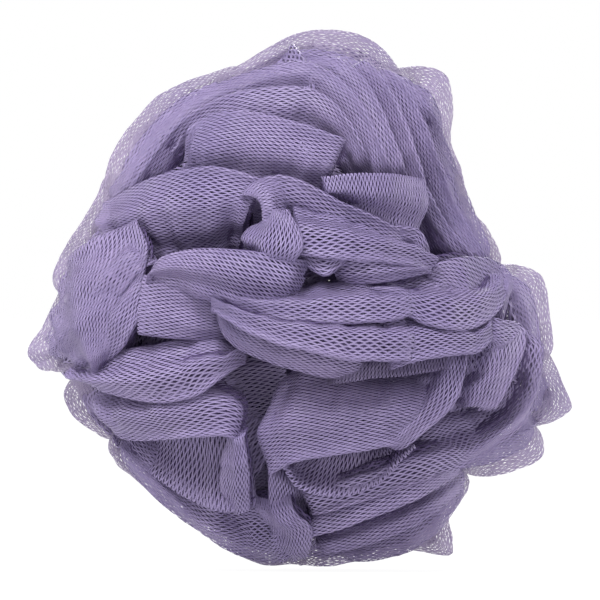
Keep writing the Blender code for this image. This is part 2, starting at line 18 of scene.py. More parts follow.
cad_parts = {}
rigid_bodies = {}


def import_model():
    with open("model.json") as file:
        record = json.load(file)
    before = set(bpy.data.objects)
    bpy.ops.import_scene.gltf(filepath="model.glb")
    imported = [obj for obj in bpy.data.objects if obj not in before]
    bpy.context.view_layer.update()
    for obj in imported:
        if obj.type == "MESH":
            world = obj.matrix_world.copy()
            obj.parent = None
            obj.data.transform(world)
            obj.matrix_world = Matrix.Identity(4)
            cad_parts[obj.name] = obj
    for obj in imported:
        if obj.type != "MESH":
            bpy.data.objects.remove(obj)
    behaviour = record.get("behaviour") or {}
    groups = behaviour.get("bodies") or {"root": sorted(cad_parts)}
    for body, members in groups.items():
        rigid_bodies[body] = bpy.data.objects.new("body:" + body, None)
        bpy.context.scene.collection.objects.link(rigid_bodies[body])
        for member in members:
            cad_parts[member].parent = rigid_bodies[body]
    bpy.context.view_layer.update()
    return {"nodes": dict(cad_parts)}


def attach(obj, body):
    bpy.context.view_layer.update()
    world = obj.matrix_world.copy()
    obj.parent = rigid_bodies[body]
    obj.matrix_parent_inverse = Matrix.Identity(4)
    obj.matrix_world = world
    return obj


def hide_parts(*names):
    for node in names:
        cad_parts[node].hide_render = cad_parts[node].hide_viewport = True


MM = 0.001

# The ball's size in metres, which the folds follow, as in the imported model.
BALL_DEPTH = 0.1220
MIDDLE_HEIGHT = 0.0670
DOME = 0.80  # how far the front's round form stands out, as a share of half the depth
LIFT_LEVEL = 3.0  # the lift that stays as the lists say
LIFT_SCALE = 1.3  # how much the others' distance from it is stretched
FOOT_DIP = 0.85  # how far a swelling fold's foot lies behind its crest, as a share of what the lists say
FACE_SLOPE = 0.8  # the most that such a fold's face falls away from the viewer, for each millimetre across it
FAN_SLOPE = 2.4  # the same in the fan of narrow folds

# The netting: from hole to hole along a row, and from row to row.
FINE_NET = (2.6, 0.44)
FAN_NET = (2.6, 0.42)  # where it is drawn together into a fan of narrow folds
RIM_NET = (2.3, 0.46)  # round the rim, where two layers are seen against the light
WIDE_NET = (2.9, 0.56)  # where it is stretched, so that its holes are wider
SECOND_NET = (3.0, 0.54)  # in the layer under each fold of the front
SIDE_NET = (3.3, 0.72)  # on the sides that the photo doesn't show
OPEN_NET = (4.2, 1.05)  # where it is out of sight
HOLE_SHARE = (0.86, 0.45)  # a hole's length and half its height, as shares of those
RIM_HOLE_SHARE = (0.80, 0.38)

# How a strip of netting lies.
ROLL = 0.7  # radius over a crest
ROLL_LIMIT = 0.3  # and the most that it is of a fold's height
BEHIND = 4.0  # how far it runs down behind the crest
INNER_BEHIND = 1.0
BEHIND_LEAN = 0.3  # how far it goes in there, for each millimetre
PAST_FOOT = 5.0
FOOT_TURN = 3.5  # radius of the turn inward past a foot
END_TURN = 4.5  # radius of the turn inward past an end
END_BEND = 1.1  # radians that it turns
SHARP_TURN = 1.2  # radius where the end is a corner that shows
END_RUN = 6.0  # how far a strip runs on past its ends
SECOND_RUN = 4.0
SHARP_RUN = 3.0
RUFFLE_RUN = 3.0
OPEN_RUN = 1.0
SWAYS = ((0.55, 11.0, 0.05), (0.25, 5.2, -0.08), (0.30, 9.0, 0.06))  # height, length and slant of its waves
SWAY_LENGTHS = (0.8, 1.25)  # between which shares of that each wave's length lies
SWAY_PHASES = (0, 6.28)
CREST_SWAY = 0.2  # share of the waves' height that is left at the crest
FULL_SWAY = 12.0  # how far from the crest they have all of it

# The camera, in metres: far off, so that it sees the ball without perspective, as the photograph does.
PIXEL = 0.00025
IMAGE_WIDTH = 600
CAMERA_DISTANCE = 2.5
SENSOR = 36.0
CAMERA_REACH = 50.0
CENTRE_HEIGHT = 0.06725

# The lights: place and target in metres, width in metres, and watts.
LAMPS = {
    "key": ((-0.20, -0.55, 0.70), (0, 0, 0.06), 0.45, 9.8),
    "front": ((0.30, -0.95, 0.36), (0, 0, 0.05), 0.7, 2.4),
    "back": ((0.05, 0.80, 0.45), (0, 0, 0.08), 0.5, 8.0),
    "left_rim": ((-0.80, 0.25, 0.25), (0, 0, 0.06), 0.5, 3.0),
    "right_rim": ((0.80, 0.25, 0.25), (0, 0, 0.06), 0.5, 4.0),
}
WORLD_LIGHT = 0.12  # the weak, even light from all round

# The floor: metres across, its grey, and its own white glow. The camera sees a larger share of the glow,
# which grows with the distance from the ball, so that the shadow stays and the horizon can't be told.
FLOOR_SIZE = 60.0
FLOOR_GREY = 0.93
GLOW = 1.05
GLOW_CAST = 0.42
GLOW_FROM = (0.15, 0.48)  # metres from the middle, and how much larger the camera's share is there
GLOW_TO = (1.2, 0.58)

# The netting's looks by piece: the material's name, its colour in cool and in warm patches, and the share of
# the light that comes through from behind. OUTSIDE is the look of all other pieces. All are the one lavender
# netting: the rim's paler colour is painted light, and the darker colours of the hollows, the second layers
# and the gathers further in are painted shade.
OUTSIDE = ("lavender_netting", (0.243, 0.199, 0.360), (0.302, 0.247, 0.420), 0.0)
LOOKS = {
    # The rim: the same netting, its colour painted paler as painted light from behind; the translucent share
    # is real.
    "rim_gathers": ("painted_light_rim_netting", (0.41, 0.35, 0.51), (0.48, 0.41, 0.56), 0.4),
    # The folds in the depths: the same netting, its colour painted darker as painted shade.
    "hollow_gathers": ("painted_shade_hollow_netting", (0.165, 0.133, 0.240), (0.195, 0.160, 0.270), 0.0),
    # The second layer under each fold: the same netting, its colour painted darker as painted shade.
    "second_layers": ("shaded_netting", (0.088, 0.063, 0.152), (0.104, 0.075, 0.168), 0.0),
    # The gathers further in: the same netting, its colour painted darkest as painted shade.
    "inner_gathers": ("painted_shade_deep_netting", (0.055, 0.037, 0.100), (0.066, 0.045, 0.112), 0.0),
}

# Noise scales, for each metre: the broad patches of cool and warm tones, and the grain.
PATCH_SCALE = 32.0
GRAIN_SCALE = 700.0
CORD_SCALE = 420.0

# The outline seen from the front: millimetres from the middle every 15 degrees, from +X up and round.
OUTLINE = (61, 52, 49, 54, 65, 67, 67.5, 64, 62, 62, 59, 60, 63, 66, 65, 62, 62, 65, 67, 66, 67, 63, 68, 66)

# Folds of the front, back ones first. A point is (across, height, lift): millimetres to the right of the
# middle, over the floor, and out from the ball's round form. The first list is the crest, the second the
# foot, and the number is how far the face swells outward, or inward where it is below zero.
OUTER_FOLDS = {
    "outer_top_left": (
        [(-49.5, 94, 0), (-46.5, 105, 0), (-37.5, 117, 0), (-30.5, 121.5, 0), (-16, 126, 0)],
        [(-43.5, 93, 1), (-39, 103, 1), (-31, 112, 1), (-25, 117, 1), (-15, 121, 1)], 2),
    "outer_top": (
        [(-22, 122, 0), (-7.5, 130.5, 0), (1, 134.5, 0), (10, 135, 0), (19, 132, 0), (25, 124.5, 0)],
        [(-16, 120, 1), (-6, 125, 1), (2.5, 126, 1), (9, 124, 1), (15, 120, 1), (23, 116, 1)], 2),
    "outer_top_right": (
        [(23.5, 125, 0), (31, 126, 0), (37, 123.5, 0), (38.5, 116, 0), (38, 107, 0), (41, 99, 0)],
        [(23.5, 118, 1), (28, 117, 1), (30.5, 114, 1), (33, 109.5, 1), (35, 103, 1), (37.5, 97, 1)], 1),
    "outer_right_shoulder": (
        [(40.5, 100, 0), (43, 90, 0), (47.5, 85, 0), (51, 77, 0)],
        [(36, 97, 1), (38.5, 90, 1), (42, 83.5, 1), (45.5, 77, 1)], 1),
    "outer_right": (
        [(50, 76, 0), (55.5, 76, 0), (61, 73, 0), (62.5, 65, 0), (63.5, 55, 0)],
        [(48.5, 72, 1), (52, 71, 1), (55, 67, 1), (57, 61, 1), (57.5, 53, 1)], 1),
    "outer_far_right": (
        [(62.5, 53.5, 0), (65.5, 47.5, 0), (68.2, 41, 0), (66.5, 38.5, 0), (62, 35.5, 0)],
        [(57.5, 51, 1), (58.5, 46, 1), (59.5, 42, 1), (57.5, 39, 1), (55, 36, 1)], 1),
    "outer_low_right": (
        [(61.5, 33, 0), (60.5, 27.5, 0), (53.5, 24, 0), (48, 23, 0), (41.5, 24, 0)],
        [(57.5, 36, 1), (53.5, 33, 1), (48.5, 30, 1), (44.5, 28.5, 1), (40.5, 27, 1)], 1),
    "outer_bottom_right": (
        [(41.5, 25, 0), (42.5, 20, 0), (37.5, 13.5, 0), (38.5, 7, 0), (37, 3.2, 0), (25.5, 5, 0)],
        [(36, 22, 1), (35, 17, 1), (32, 13, 1), (31, 9.5, 1), (29, 8, 1), (24, 7.5, 1)], 1),
    "outer_bottom": (
        [(26, 3.2, 0), (14.5, 1.8, 0), (7, 0.2, 0), (0, 1, 0), (-7, 0.6, 0)],
        [(25, 8, 1), (15, 6, 1), (7, 5.5, 1), (0, 5.5, 1), (-5, 6, 1)], 1),
    "outer_low_left": (
        [(-48, 32.2, 1), (-45.5, 27.5, 3), (-38, 19.5, 5), (-29, 12.5, 6), (-19, 5.8, 6), (-9.5, 1, 5),
         (-3.5, 0.8, 4)],
        [(-44.5, 33.5, 1), (-39, 28.5, 1), (-32.5, 23.5, 2), (-26, 19.5, 2), (-19, 17, 2), (-13, 14.5, 2),
         (-6.5, 12, 1)], 4),
    "outer_small_left": (
        [(-56, 48.5, 0), (-59, 43.5, 0), (-57, 38.5, 0), (-52, 34.5, 0), (-48, 32, 0)],
        [(-50, 48, 1), (-50.5, 43.5, 1), (-49, 40, 1), (-47, 37, 1), (-45, 34.5, 1)], 1),
    "outer_left_tip": (
        [(-60, 70, 0), (-64, 62, 0), (-68.2, 55, 0), (-66, 51, 0), (-58, 50.5, 0)],
        [(-55, 67, 2), (-57, 61, 2), (-58, 56, 2), (-57, 54, 2), (-54, 52.5, 2)], 1),
    "outer_left": (
        [(-49, 98.5, 0), (-51.5, 92, 0), (-56, 85, 0), (-60, 79, 0), (-62.7, 72, 0)],
        [(-40, 92, 2), (-43.5, 87, 2), (-48.5, 81, 2), (-54, 75, 2), (-59, 70, 2)], 3),
}

FRONT_FOLDS = {
    "fan_6": (
        [(26, 123, 3), (32.5, 114.5, 4), (37.5, 104.5, 4), (42, 94, 4), (48, 80, 3)],
        [(19, 119, -8), (26, 111, -8), (31, 101.5, -8), (35, 92, -8), (41, 79, -7)], 1),
    "fan_5": (
        [(21, 125, 5), (26, 120.5, 6), (31, 110, 6), (35, 99.5, 6), (38.8, 90.5, 6), (46.5, 77.5, 5)],
        [(14.5, 121.5, -6), (20, 116, -6), (25, 107, -6), (29, 97.5, -6), (33, 88.5, -6), (40.5, 76, -5)], 1),
    "fan_4": (
        [(15.5, 127.5, 6), (20, 122.5, 7), (24.2, 114.5, 7), (27.8, 104.8, 7), (30.5, 96, 7)],
        [(9, 122.5, -5), (13.5, 118, -5), (18, 111, -5), (21.5, 102.5, -5), (24.5, 94, -5)], 1),
    "fan_3": (
        [(2, 128.5, 4), (8, 127.7, 6), (13, 125, 7), (17.3, 119.5, 7), (21.3, 111, 7), (25, 101, 7)],
        [(0.5, 124, 1), (5, 122.8, 0), (9, 119.5, 0), (12.5, 115, 0), (16, 108, 0), (20, 98.5, 0)], 1),
    "over_the_top": (
        [(-48.5, 94, 2), (-43.5, 100.5, 3), (-37, 109.5, 4), (-27.5, 118, 5), (-13, 123.8, 6),
         (-2, 126.3, 7), (6, 124.5, 8), (12.5, 119, 8), (17.5, 110.5, 8), (21, 102, 8)],
        [(-44.5, 90, -1), (-38.5, 96, 0), (-32.5, 104.5, 0), (-24.5, 112.5, 0), (-12, 117.5, 1),
         (-2.5, 119.5, 1), (3.5, 117.5, 1), (8.5, 112.5, 1), (13.5, 105.5, 1), (17, 99, 1)], 1),
    "second_over": (
        [(-42.5, 94.5, 5), (-37.5, 101, 6), (-32, 108.5, 7), (-25, 114.5, 8), (-16, 118.5, 9),
         (-6, 120, 9), (2.5, 119.5, 9), (8.5, 115.5, 9), (13, 109, 8), (16, 103, 7)],
        [(-38, 91, -5), (-33, 96.5, -5), (-29.5, 102, -4), (-23, 107, -1), (-14, 108.5, 2),
         (-5.5, 109, 3), (0.5, 110, 3), (5.5, 108, 2), (9.5, 104.5, 1), (13, 100, 0)], 1),
    "shoulder_fold": (
        [(31.5, 93.5, 6), (35.5, 87, 6), (39.5, 81.5, 6), (44, 76.5, 6)],
        [(28, 92, 0), (32, 85, 0), (35.5, 80, 0), (39, 76, 0)], 1),
    "brow_hollow": (
        [(9, 107, 1), (15, 104.5, 1), (20, 101, 1), (25, 98, 1)],
        [(4, 98, -3), (9, 96, -3), (13, 95, -3), (18, 94, -3)], 0),
    "brow_flap": (
        [(-27, 108.5, 9), (-24.5, 112, 10), (-18, 114, 11), (-10.5, 113.5, 11), (0, 110.5, 12),
         (10.8, 106.8, 11)],
        [(-31, 99, 2), (-26.5, 98, 2), (-20, 97.5, 2), (-12, 96.5, 2), (-3, 95, 2), (4.5, 93.5, 2)], 2),
    "big_petal": (
        [(-50, 91, 2), (-37.5, 97.2, 6), (-25, 99.8, 10), (-17.5, 99.2, 11), (-9.5, 96.5, 10)],
        [(-47, 81, -2), (-38, 80.5, -2), (-29.5, 79, -2), (-21.5, 79, -1), (-15.5, 84, 1)], 3.5),
    "petal_lip": (
        [(-14.5, 93.4, 11), (-11.2, 92.8, 12), (-9.2, 90.2, 12.5), (-8.6, 86, 12.5)],
        [(-9.8, 97, 9), (-6.8, 95.5, 9.5), (-5.2, 91.5, 10), (-5.5, 86, 10.5)], 1),
    "right_limb": (
        [(-9.5, 96.7, 10), (-2.5, 97.2, 10), (10, 91, 10), (20, 86.7, 9), (26.5, 83.5, 8)],
        [(-9, 90, 4), (-2.5, 88, 3), (7.5, 84, 3), (18.5, 80, 3), (25, 78, 3)], 2),
    "band": (
        [(6, 97, 11), (15, 98, 12), (23.5, 98, 12), (31.2, 97, 10)],
        [(7.5, 93.5, 5), (14, 90.5, 6), (21, 87.5, 7), (29.5, 84.5, 7)], 2),
    "small_scroll": (
        [(26, 84.8, 9), (29.5, 84.3, 9), (31.5, 81, 8)],
        [(24.5, 81, 4), (27, 79.5, 4), (29, 77.5, 4)], 1),
    "deep_hollow": (
        [(14, 69, 1), (5, 67, 1), (-3.5, 66, 1)],
        [(12, 76.5, -8), (4.5, 77.5, -8), (-2.5, 78, -7)], -2),
    "tongue": (
        [(0.5, 78.5, 13), (10, 77.5, 14), (20, 76.8, 13), (28.5, 75.8, 11), (32.5, 74.2, 9)],
        [(-1, 88.5, 3), (9, 86.5, 3), (19, 83, 3), (26.5, 80, 3), (31.5, 77, 3)], 3),
    "tongue_underside": (
        [(13, 70.8, 9), (19, 71.2, 10), (25, 72.2, 10), (32.5, 74, 9)],
        [(11, 75.5, 11), (17.5, 76.5, 12), (24.5, 76, 11), (31.5, 75.2, 9)], 1),
    "corner_fold": (
        [(0, 78, 10), (2.5, 75.2, 11), (6.2, 73.2, 12), (9, 75.2, 12), (11.5, 77.8, 12)],
        [(0.8, 80, 8), (3.8, 79.7, 9), (6.2, 79.5, 9), (8.8, 79.2, 10), (10.5, 79, 10)], 1),
    "curl": (
        [(-3.2, 89.5, 14), (-0.8, 84.8, 16), (0.4, 80, 16), (-1.4, 76.4, 14)],
        [(-6, 88, 12), (-10.5, 85.3, 10), (-12, 82.5, 10), (-11.5, 79.5, 11)], 2),
    "left_face": (
        [(-41, 87.5, 6), (-38, 80, 7), (-39.2, 72, 7), (-41, 62, 5), (-44, 54, 3)],
        [(-58, 71, 1), (-61, 63.5, 1), (-59, 56, 1), (-56, 53, 0), (-50, 51, 0)], 6),
    "left_crease": (
        [(-39.5, 75, 8), (-45, 67.5, 7.5), (-51, 60, 6), (-59, 52.2, 3)],
        [(-44.5, 80, 5), (-51, 73, 4), (-57, 65.5, 3), (-63, 56, 0)], 2),
    "left_crease_2": (
        [(-38.5, 66.5, 8), (-42, 59, 7.5), (-46, 53.5, 6), (-52, 49.5, 4)],
        [(-41.5, 73, 5), (-47.5, 65.5, 4), (-52, 59.5, 3), (-57.5, 53.5, 1)], 2),
    "left_valley": (
        [(-37, 86, 0), (-31, 83, -1), (-26, 80, -1)],
        [(-39, 74, -4), (-35, 76, -4), (-29, 76, -4)], -2),
    "square_flap": (
        [(-38.8, 73.2, 9), (-39.8, 66, 9), (-40, 59, 8)],
        [(-23.5, 68.5, 6), (-21.8, 63.5, 5), (-20.5, 57.8, 3)], 2),
    "left_triangle": (
        [(-39, 50, 2), (-31, 51, 2), (-22, 51.5, 2)],
        [(-39.5, 60, -4), (-31, 60.5, -5), (-23, 60, -5)], -2),
    "pale_flap": (
        [(-37.5, 73.8, 9), (-33.8, 78, 11), (-25, 79.8, 13), (-12.5, 79.2, 14), (-0.5, 77.2, 13)],
        [(-37.5, 73.2, 8), (-30, 72.4, 10), (-18.8, 69, 12), (-12, 67.2, 12), (-4.2, 67.2, 11)], 2),
    "cone": (
        [(32, 73.5, 7), (35, 76.8, 8), (42.5, 78.2, 8), (50, 76.8, 6), (53.5, 72.2, 4)],
        [(34, 67, 4), (38, 64.5, 4), (42.5, 62, 4), (47, 63.5, 3), (51, 67, 2)], 1),
    "long_flap": (
        [(13, 66.5, 6), (22, 66, 10), (31, 61.8, 12), (38.8, 60.2, 12), (45, 61.5, 10), (49.5, 65.2, 8),
         (51.5, 69, 6)],
        [(13, 70, 3), (21, 70.3, 4), (28.8, 71, 4), (36, 70.5, 4), (41.2, 70, 4), (44.5, 71.2, 3),
         (46.5, 73, 2)], 3),
    "central_roll": (
        [(-21, 66.2, 11), (-12.5, 64, 13), (-2.5, 62.2, 14), (10, 62, 14), (21, 62.5, 13), (28, 64, 12)],
        [(-20, 67.5, 7), (-11.2, 67.5, 6), (-1.2, 68.5, 5), (10, 70, 5), (20, 70, 5), (26.2, 69, 5)], 2),
    "central_petal": (
        [(-20.8, 64.8, 13), (-15, 61, 15), (-6.2, 57.2, 17), (2.5, 55.2, 18), (12.5, 53, 17),
         (27.5, 52.6, 14)],
        [(-20.8, 65.8, 11), (-13.8, 64.2, 10), (-5, 62.5, 9), (3.8, 62.2, 9), (12.5, 62.2, 9),
         (26, 61.8, 9)], 3),
    "central_right": (
        [(27, 52.2, 14), (35, 53.8, 13), (43.8, 54.8, 11), (48, 58.5, 9)],
        [(25.5, 62.2, 8), (32.5, 62, 7), (41.2, 60.5, 6), (46.2, 61.8, 5)], 2),
    "under_leaf": (
        [(-21, 64.2, 9), (-19, 58.5, 9), (-13.8, 54.2, 9), (-5, 50.8, 9), (5, 48.2, 8), (13, 47.5, 6)],
        [(-19.5, 63.8, 11), (-13.8, 60.2, 11), (-6.2, 57, 11), (1.2, 55.5, 11), (8.8, 54, 10),
         (15, 52.2, 8)], 1),
    "leaf": (
        [(-54.5, 47.2, 4), (-47.5, 44, 7), (-36, 42, 10), (-27.5, 43.2, 11), (-22, 46.2, 11),
         (-16.5, 50.5, 8)],
        [(-56, 50.2, 3), (-47.5, 50.8, 5), (-38, 52.5, 6), (-28, 54.2, 6), (-20, 54.5, 6),
         (-15.5, 52.5, 5)], 4),
    "pouch_lip": (
        [(-47.3, 35, 4), (-43, 32.5, 7), (-33.8, 32.8, 10), (-25, 33.8, 12), (-17.5, 34, 12),
         (-14, 31.8, 10)],
        [(-50, 46, 0), (-43.8, 45, 1), (-35, 45, 2), (-27.5, 47, 2), (-22, 48, 2), (-19.5, 46.5, 3)], 4),
    "pouch": (
        [(-47, 32.2, 4), (-42, 27.8, 7), (-34.5, 22.2, 9), (-27, 17.5, 10), (-21.2, 15.2, 11),
         (-15.5, 14.8, 10)],
        [(-45, 34.5, 0), (-38.8, 34.5, -1), (-31.2, 34.5, -1), (-25, 34.5, -1), (-20, 34.5, -1),
         (-17, 33, -1)], -1),
    "pouch_side": (
        [(-14.2, 33, 12), (-13, 26, 12), (-12.8, 19.8, 11), (-12.5, 15, 9)],
        [(-16.5, 32.5, 9), (-17.5, 26, 8), (-17.8, 20.2, 8), (-17, 15, 7)], 1),
    "valley": (
        [(-3.5, 53, 3), (-3.5, 39.8, 1), (-4.5, 27.2, 1), (-5.5, 12.2, 0)],
        [(-22, 50, -3), (-15.5, 39.8, -4), (-13.5, 27.2, -4), (-13, 13.5, -2)], -2),
    "dark_band": (
        [(9, 47, 8), (20, 48.5, 9), (29, 49.5, 9), (38.8, 51.2, 8)],
        [(12.5, 53.5, 5), (21.2, 54, 5), (28.8, 54.5, 5), (37.5, 55.5, 4)], 1),
    "lower_face": (
        [(-8, 24.2, 9), (-2.5, 27.2, 11), (7.5, 29.2, 12), (17.5, 30.8, 13), (26.2, 32.2, 12)],
        [(-7, 44, 2), (0, 47.5, 3), (7.5, 48.5, 3), (18.8, 49, 2), (32.5, 50, 2)], 4),
    "lower_pouch": (
        [(-4.2, 27.8, 9), (-0.5, 21.8, 10), (5, 19.5, 11), (12.5, 19.5, 11), (19.5, 22.8, 10),
         (25, 29, 9)],
        [(-2, 28, 2), (3, 29, 2), (8, 29.5, 2), (13, 30, 2), (18.8, 30.5, 2), (23, 31, 2)], -1),
    "lower_cone": (
        [(41, 53.2, 9), (39, 44.2, 11), (35.8, 39.8, 12), (30, 34.5, 13), (26, 30.8, 12)],
        [(34.5, 52, 4), (31, 46.5, 5), (27.5, 42, 6), (24, 37.5, 8), (21, 34, 9)], 2),
    "right_leaf": (
        [(49, 62, 9), (55.5, 60.8, 8), (55.2, 54.2, 9), (51.5, 46, 10), (48.5, 40.8, 10)],
        [(43.5, 58.5, 4), (42.5, 53.5, 4), (40.5, 47.8, 4), (38, 43.5, 4), (37.5, 40.2, 4)], 4),
    "right_sweep": (
        [(61, 56, 3), (60, 46, 5), (56, 37, 6), (50, 31.8, 7), (41, 25.8, 8), (31, 23, 10),
         (20, 19.5, 11), (10, 16.5, 11), (3, 14.5, 9)],
        [(55, 56, 0), (53.5, 47, 0), (50, 40, 0), (45, 36.5, 0), (37.5, 35, 1), (30, 32.5, 2),
         (21, 28, 2), (11, 23, 3), (4, 20.5, 3)], 4),
    "low_fold_1": (
        [(1, 8.5, 10), (10, 11.2, 13), (19.5, 14.8, 14), (30, 19, 13), (40, 24, 8)],
        [(3, 14.5, 4), (11, 18.5, 5), (20, 21.5, 6), (30, 24.5, 6), (39, 27.5, 4)], 1),
    "low_fold_2": (
        [(6, 4.4, 11), (15, 6.2, 13), (25, 10.2, 14), (34, 15.2, 12), (41.3, 20.5, 7)],
        [(8, 9, 4), (15, 12, 5), (24, 15.5, 6), (33, 20, 5), (40.5, 25, 3)], 1),
    "low_fold_3": (
        [(12, 1.6, 10), (20, 2.4, 12), (28, 4.8, 12), (34.5, 9.5, 10), (39.5, 15.5, 6)],
        [(12.5, 5.5, 4), (20, 7.7, 5), (27.5, 11.3, 5), (35, 16, 4), (41, 21, 2)], 1),
    "low_fan": (
        [(-1.5, 14, 10), (2.2, 11, 11), (2.8, 7, 11), (1.5, 2.5, 10)],
        [(-7, 13.5, 6), (-5.5, 10, 6), (-4.5, 6, 6), (-4, 2.5, 6)], 1),
    "low_upright": (
        [(-7.5, 25, 7), (-7.5, 17.2, 6), (-6, 9.8, 4), (-3, 4.2, 2)],
        [(1, 20, 2), (0.8, 14.8, 2), (2, 8.5, 1), (4, 4.8, 0)], 1),
    "low_left_face": (
        [(-45, 28.4, 8), (-41.5, 23.8, 11), (-35.5, 17.8, 14), (-27, 10.8, 15), (-18, 4.9, 15),
         (-10, 2, 14), (-4, 1.8, 12)],
        [(-43, 31.5, 3), (-38, 27.3, 4), (-32.5, 22.3, 4), (-27, 18, 5), (-21, 15.2, 5), (-14, 13.8, 4),
         (-6, 13, 3)], 2),
}

# Folds whose ends are corners that show, with an open end, with a deep gap at the foot, in the fan of narrow
# folds, and with stretched netting.
SHARP_ENDS = ("brow_flap", "petal_lip", "curl", "square_flap", "tongue", "band", "pouch_side", "right_leaf")
OPEN_ENDS = ("big_petal", "pouch_lip", "lower_face")
DEEP_FEET = ("shoulder_fold",)
FINE_FOLDS = ("fan_6", "fan_5", "fan_4", "fan_3")
WIDE_FOLDS = (
    "brow_hollow", "left_valley", "left_triangle", "deep_hollow", "valley", "pouch",
    "lower_pouch", "cone", "right_leaf",
)

# The front's folds by piece. The others make up middle_gathers.
PIECES = {
    # These folds lie in the depths; their netting's darker colour is painted shade.
    "hollow_gathers": ("brow_hollow", "deep_hollow", "left_valley", "left_triangle", "valley", "dark_band"),
    "upper_gathers": (
        *FINE_FOLDS, "petal_lip", "over_the_top", "second_over", "shoulder_fold", "brow_flap", "big_petal",
        "right_limb", "band", "small_scroll",
    ),
    "lower_gathers": (
        "leaf", "pouch_lip", "pouch", "pouch_side", "lower_face", "lower_pouch", "lower_cone",
        "right_leaf", "right_sweep", "low_fold_1", "low_fold_2", "low_fold_3", "low_fan",
        "low_upright", "low_left_face",
    ),
}

# Degrees from a fold's crest to the long way of its holes, where that isn't along the crest.
HOLE_TURNS = {
    "curl": 12, "square_flap": 85, "left_face": 30, "left_triangle": 40, "left_valley": 60, "tongue": 8,
    "pale_flap": 20, "lower_pouch": 70, "pouch": 75, "valley": 80, "brow_flap": 6, "band": 90,
    "petal_lip": 80, "dark_band": 85, "cone": 35,
}


class Ruffles(NamedTuple):
    """A family of ruffles: folds that rise out of the ball along a wavy crest and go in again at its ends."""

    count: int  # over the whole ball
    seed: int
    first: int  # the first one's number, from which its netting's waves are drawn
    cone: float  # degrees from straight ahead within which the front's folds take their place
    span: tuple = (52.0, 84.0)  # degrees round the ball that a crest is long
    reach: tuple = (17.0, 27.0)  # degrees from the crest to the foot
    base: float = 0.76  # how far out a crest starts, as a share of the ball's radius
    rise: float = 0.23  # how far the crest's middle rises from there


# The other sides are large ruffles, with smaller ones between them that don't come as far out. The gathers
# further in close the view between the outer folds; their netting's colour is painted darkest, as painted
# shade.
LARGE_RUFFLES = Ruffles(count=70, seed=11, first=100, cone=60.0)
SMALL_RUFFLES = Ruffles(
    count=56, seed=23, first=600, cone=75.0, span=(30.0, 46.0), reach=(10.0, 15.0), base=0.80, rise=0.13)
INNER_RUFFLES = Ruffles(count=44, seed=5, first=200, cone=0.0)
INNER_SCALE = 0.80
RUFFLE_WAVE = 7.0  # degrees that a crest swings to both sides
RUFFLE_PHASE = 2.6  # radians of that wave from a crest's middle to its end
RUFFLE_POINTS = (-1.0, -0.6, -0.2, 0.2, 0.6, 1.0)  # the places along it, as shares of half its length
RUFFLE_ARCH = 1.15  # the square of such a share, a little past the ends, where its arch would come down
RISE_SHARES = (0.75, 1.0)  # between which shares of its family's rise each one's lies
FOOT_SINK = 0.04  # how far a foot lies in from the crest's ends, as a share of the ball's radius
RUFFLE_SWELL = (1.0, 4.0)
LOW_RISE = 0.05  # how much farther out the lowest place lies, as such a share
LOW_POWER = 8  # and how fast that fades with the height
POLE_SHARE = 0.6  # from how steep a way up or down a ruffle counts as the top's or the underside's
BACK_SHARE = 0.5  # and from how far back as the back's
AHEAD = Vector((0, -1, 0))

# How far the rim's crests sway to front and back, how many times round the ball, and the feet's share of it.
RIM_SWAY = 4.0
RIM_WAVES = 7
RIM_FOOT_SWAY = 0.6

# In from each fold of the rim, under the front, lies another: where its crest and its foot lie, as shares of
# the way from the rim fold's crest to its foot, the lifts there, and how far it swells.
RIM_INNER = (0.55, 1.60)
RIM_INNER_LIFTS = (-1.0, -8.0)
RIM_INNER_SWELL = 2
RIM_INNER_FIRST = 500

# Under each fold of the front lies the tube's second layer, moved down from the crest, or up where the number
# is below zero, and in.
# The second layers' netting is painted darker, as painted shade.
SECOND_SEED = 3
SECOND_FIRST = 300
SECOND_SHIFT = (-1.8, 2.2)
SECOND_DEPTH = 2.6
NO_SECOND = ("petal_lip",)

FLOOR_GAP = 0.15  # the least height over the floor
FLAT_GAP = 3.0  # between strips in the flat layout
FLAT_GROWTH = 1.04  # by how much its square grows until they fit
CURVE_STEPS = 24  # between two points of a crest or a foot
TANGENT_REACH = 0.03  # share of a crest to both sides over which its direction is taken
PROBES = 21  # places along a fold at which its height and its outer side are taken


def outline_radius(angle):
    place = np.mod(np.degrees(angle), 360.0) / 360.0 * len(OUTLINE)
    low = np.floor(place).astype(int) % len(OUTLINE)
    blend = 0.5 - 0.5 * np.cos(np.pi * (place - np.floor(place)))
    radii = np.array(OUTLINE, float)
    return radii[low] * (1 - blend) + radii[(low + 1) % len(OUTLINE)] * blend


def on_ball(points):
    """Points of the lists as places round the ball's middle."""
    points = np.array(points, float)
    across, up = points[:, 0], points[:, 1] - MIDDLE_HEIGHT / MM
    share = np.hypot(across, up) / outline_radius(np.arctan2(up, across))
    lift = LIFT_LEVEL + (points[:, 2] - LIFT_LEVEL) * LIFT_SCALE
    out = BALL_DEPTH / MM / 2 * DOME * np.sqrt(np.clip(1 - share**2, 0, 1)) + lift
    return np.stack([across, -out, up], axis=1)


def settled(name, crest, foot, bulge):
    """The foot of a fold that swells outward, brought out toward the crest's own lift."""
    if bulge < 0 or name in DEEP_FEET:
        return foot
    level = sum(lift for _, _, lift in crest) / len(crest)
    return [(across, height, level + (lift - level) * FOOT_DIP) for across, height, lift in foot]


def facing(name, crest, foot, bulge):
    """The same foot, brought out or in where the face would be too steep to show its netting."""
    if bulge < 0 or name in DEEP_FEET:
        return foot
    apart = np.hypot(foot[:, 0] - crest[:, 0], foot[:, 2] - crest[:, 2])
    apart *= FAN_SLOPE if name in FINE_FOLDS else FACE_SLOPE
    level = np.clip(foot[:, 1], crest[:, 1] - apart, crest[:, 1] + apart)
    return np.stack([foot[:, 0], level, foot[:, 2]], axis=1)


